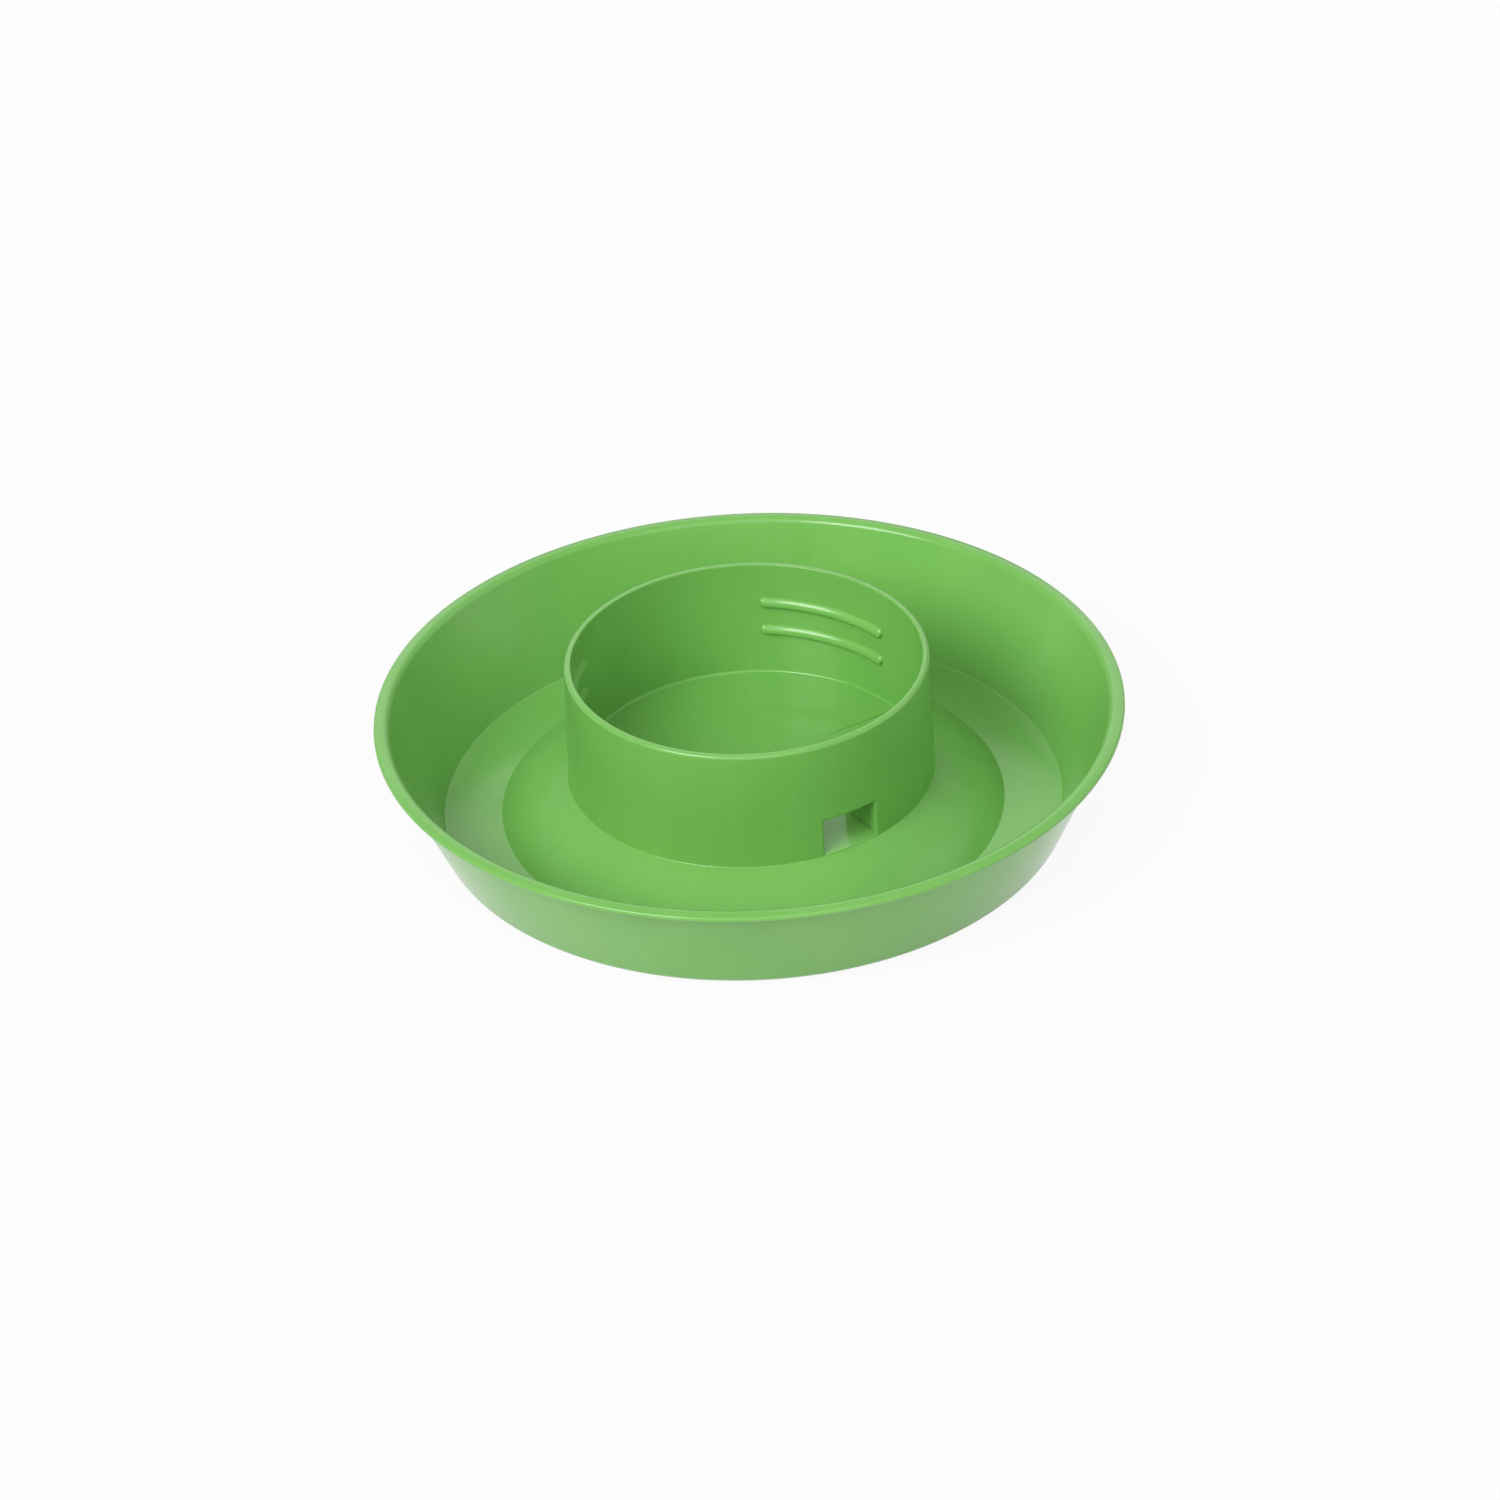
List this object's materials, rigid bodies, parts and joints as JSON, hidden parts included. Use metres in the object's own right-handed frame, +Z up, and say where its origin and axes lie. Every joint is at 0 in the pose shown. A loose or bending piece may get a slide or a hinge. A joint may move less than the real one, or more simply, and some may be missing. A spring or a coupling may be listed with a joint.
{
  "type": "poultry feeder base",
  "caption": "Round screw-on trough for a poultry feeder: a flared ring dish with a threaded collar for a jar and a window that lets feed out.",
  "frame": {"origin": "centre of the round trough in the plane that it rests on", "axes": "+Z up along the axis of the collar and the trough, out of the collar's mouth; the feed window faces -Y"},
  "size_m": [0.235, 0.235, 0.0556],
  "materials": {
    "green_plastic": "glossy injection-moulded plastic, lime green through and through"
  },
  "bodies": {
    "root": {"feeder_base": "green_plastic"}
  },
  "joints": []
}
